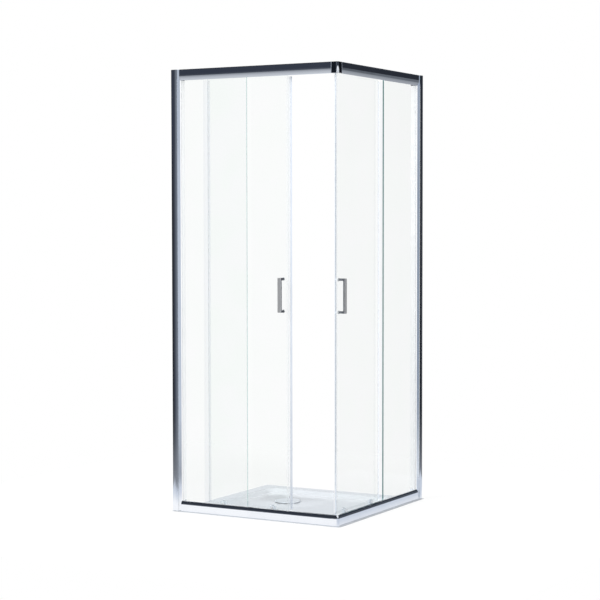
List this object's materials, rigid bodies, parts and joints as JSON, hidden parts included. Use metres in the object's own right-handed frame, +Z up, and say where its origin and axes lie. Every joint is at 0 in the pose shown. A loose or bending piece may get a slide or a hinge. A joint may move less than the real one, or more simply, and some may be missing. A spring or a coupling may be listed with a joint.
{
  "type": "shower enclosure",
  "caption": "Square corner shower enclosure with sliding clear glass doors on rollers, fixed panes, chrome profiles and a flat tray with waste.",
  "frame": {"origin": "middle of the tray's underside", "axes": "+Z up; the doors meet at the corner (+X, -Y), the side wall is at -X and the back wall at +Y"},
  "size_m": [0.8, 0.8, 1.89],
  "materials": {
    "profile": "bright polished chrome-finish aluminium profile",
    "corner": "bright chrome-plated moulding",
    "glass": "clear toughened glass with polished edges",
    "seal": "milky translucent soft plastic",
    "magnet": "grey flexible magnet",
    "gasket": "grey glazing rubber",
    "handle": "satin silver bar",
    "steel": "bright stainless screws and axles",
    "cap": "bright chrome caps",
    "nylon": "pale nylon",
    "guide": "dark grey moulded plastic",
    "stop": "black rubber",
    "tray": "white gloss cast resin",
    "waste_metal": "bright chrome cover",
    "waste_plastic": "light grey moulded plastic"
  },
  "bodies": {
    "frame": {"tray": "tray", "waste_flange": "waste_plastic", "waste_washers": "stop", "waste_nut": "waste_plastic", "corner_top": "corner", "corner_bottom": "corner", "frame_screws": "steel", "lock_screws": "steel", "door_stops": "stop", "wall_profile_left": "profile", "stile_left": "profile", "top_rail_left": "profile", "bottom_rail_left": "profile", "fixed_glass_left": "glass", "glazing_gaskets_left": "gasket", "wall_profile_right": "profile", "stile_right": "profile", "top_rail_right": "profile", "bottom_rail_right": "profile", "fixed_glass_right": "glass", "glazing_gaskets_right": "gasket"},
    "waste_cover": {"waste_cover": "waste_metal"},
    "door_left": {"door_glass_left": "glass", "leading_seal_left": "seal", "magnet_strip_left": "magnet", "rear_seal_left": "seal", "handle_left": "handle", "handle_screws_left": "cap", "handle_washers_left": "nylon", "roller_axles_left": "steel", "roller_bushes_left": "nylon", "cap_nuts_left": "cap", "guide_bodies_left": "guide", "guide_spring_front_left": "steel", "guide_spring_rear_left": "steel"},
    "top_wheel_front_left": {"top_wheel_front_left": "nylon"},
    "guide_carriage_front_left": {"guide_carriage_front_left": "guide"},
    "guide_wheel_front_left": {"guide_wheel_front_left": "nylon"},
    "top_wheel_rear_left": {"top_wheel_rear_left": "nylon"},
    "guide_carriage_rear_left": {"guide_carriage_rear_left": "guide"},
    "guide_wheel_rear_left": {"guide_wheel_rear_left": "nylon"},
    "door_right": {"door_glass_right": "glass", "leading_seal_right": "seal", "magnet_strip_right": "magnet", "rear_seal_right": "seal", "handle_right": "handle", "handle_screws_right": "cap", "handle_washers_right": "nylon", "roller_axles_right": "steel", "roller_bushes_right": "nylon", "cap_nuts_right": "cap", "guide_bodies_right": "guide", "guide_spring_front_right": "steel", "guide_spring_rear_right": "steel"},
    "top_wheel_front_right": {"top_wheel_front_right": "nylon"},
    "guide_carriage_front_right": {"guide_carriage_front_right": "guide"},
    "guide_wheel_front_right": {"guide_wheel_front_right": "nylon"},
    "top_wheel_rear_right": {"top_wheel_rear_right": "nylon"},
    "guide_carriage_rear_right": {"guide_carriage_rear_right": "guide"},
    "guide_wheel_rear_right": {"guide_wheel_rear_right": "nylon"}
  },
  "joints": [
    {"name": "waste_cover_lift", "type": "slide", "parent": "frame", "child": "waste_cover", "axis": [0, 0, 1], "range_m": [0, 0.08]},
    {"name": "door_left_slide", "type": "slide", "parent": "frame", "child": "door_left", "axis": [-1, 0, 0], "range_m": [-0.2002, 0.0899]},
    {"name": "top_wheel_front_left_spin", "type": "hinge", "parent": "door_left", "child": "top_wheel_front_left", "pos_m": [0.06191, -0.35512, 1.8696], "axis": [0, 1, 0], "continuous": true},
    {"name": "guide_release_front_left", "type": "slide", "parent": "door_left", "child": "guide_carriage_front_left", "axis": [0, 0, -1], "range_m": [0, 0.006], "stiffness_N_per_m": 300, "springref_m": -0.005, "deforming": ["guide_spring_front_left"]},
    {"name": "guide_wheel_front_left_spin", "type": "hinge", "parent": "guide_carriage_front_left", "child": "guide_wheel_front_left", "pos_m": [0.06191, -0.35512, 0.0604], "axis": [0, 1, 0], "continuous": true},
    {"name": "top_wheel_rear_left_spin", "type": "hinge", "parent": "door_left", "child": "top_wheel_rear_left", "pos_m": [-0.17305, -0.35512, 1.8696], "axis": [0, 1, 0], "continuous": true},
    {"name": "guide_release_rear_left", "type": "slide", "parent": "door_left", "child": "guide_carriage_rear_left", "axis": [0, 0, -1], "range_m": [0, 0.006], "stiffness_N_per_m": 300, "springref_m": -0.005, "deforming": ["guide_spring_rear_left"]},
    {"name": "guide_wheel_rear_left_spin", "type": "hinge", "parent": "guide_carriage_rear_left", "child": "guide_wheel_rear_left", "pos_m": [-0.17305, -0.35512, 0.0604], "axis": [0, 1, 0], "continuous": true},
    {"name": "door_right_slide", "type": "slide", "parent": "frame", "child": "door_right", "axis": [0, 1, 0], "range_m": [0, 0.29]},
    {"name": "top_wheel_front_right_spin", "type": "hinge", "parent": "door_right", "child": "top_wheel_front_right", "pos_m": [0.35512, -0.26212, 1.8696], "axis": [1, 0, 0], "continuous": true},
    {"name": "guide_release_front_right", "type": "slide", "parent": "door_right", "child": "guide_carriage_front_right", "axis": [0, 0, -1], "range_m": [0, 0.006], "stiffness_N_per_m": 300, "springref_m": -0.005, "deforming": ["guide_spring_front_right"]},
    {"name": "guide_wheel_front_right_spin", "type": "hinge", "parent": "guide_carriage_front_right", "child": "guide_wheel_front_right", "pos_m": [0.35512, -0.26212, 0.0604], "axis": [1, 0, 0], "continuous": true},
    {"name": "top_wheel_rear_right_spin", "type": "hinge", "parent": "door_right", "child": "top_wheel_rear_right", "pos_m": [0.35512, -0.02715, 1.8696], "axis": [1, 0, 0], "continuous": true},
    {"name": "guide_release_rear_right", "type": "slide", "parent": "door_right", "child": "guide_carriage_rear_right", "axis": [0, 0, -1], "range_m": [0, 0.006], "stiffness_N_per_m": 300, "springref_m": -0.005, "deforming": ["guide_spring_rear_right"]},
    {"name": "guide_wheel_rear_right_spin", "type": "hinge", "parent": "guide_carriage_rear_right", "child": "guide_wheel_rear_right", "pos_m": [0.35512, -0.02715, 0.0604], "axis": [1, 0, 0], "continuous": true}
  ],
  "couplings": [
    {"joint": "top_wheel_front_left_spin", "follows": "door_left_slide", "rad_per_m": -105.26},
    {"joint": "guide_wheel_front_left_spin", "follows": "door_left_slide", "rad_per_m": 105.26},
    {"joint": "top_wheel_rear_left_spin", "follows": "door_left_slide", "rad_per_m": -105.26},
    {"joint": "guide_wheel_rear_left_spin", "follows": "door_left_slide", "rad_per_m": 105.26},
    {"joint": "top_wheel_front_right_spin", "follows": "door_right_slide", "rad_per_m": -105.26},
    {"joint": "guide_wheel_front_right_spin", "follows": "door_right_slide", "rad_per_m": 105.26},
    {"joint": "top_wheel_rear_right_spin", "follows": "door_right_slide", "rad_per_m": -105.26},
    {"joint": "guide_wheel_rear_right_spin", "follows": "door_right_slide", "rad_per_m": 105.26}
  ]
}
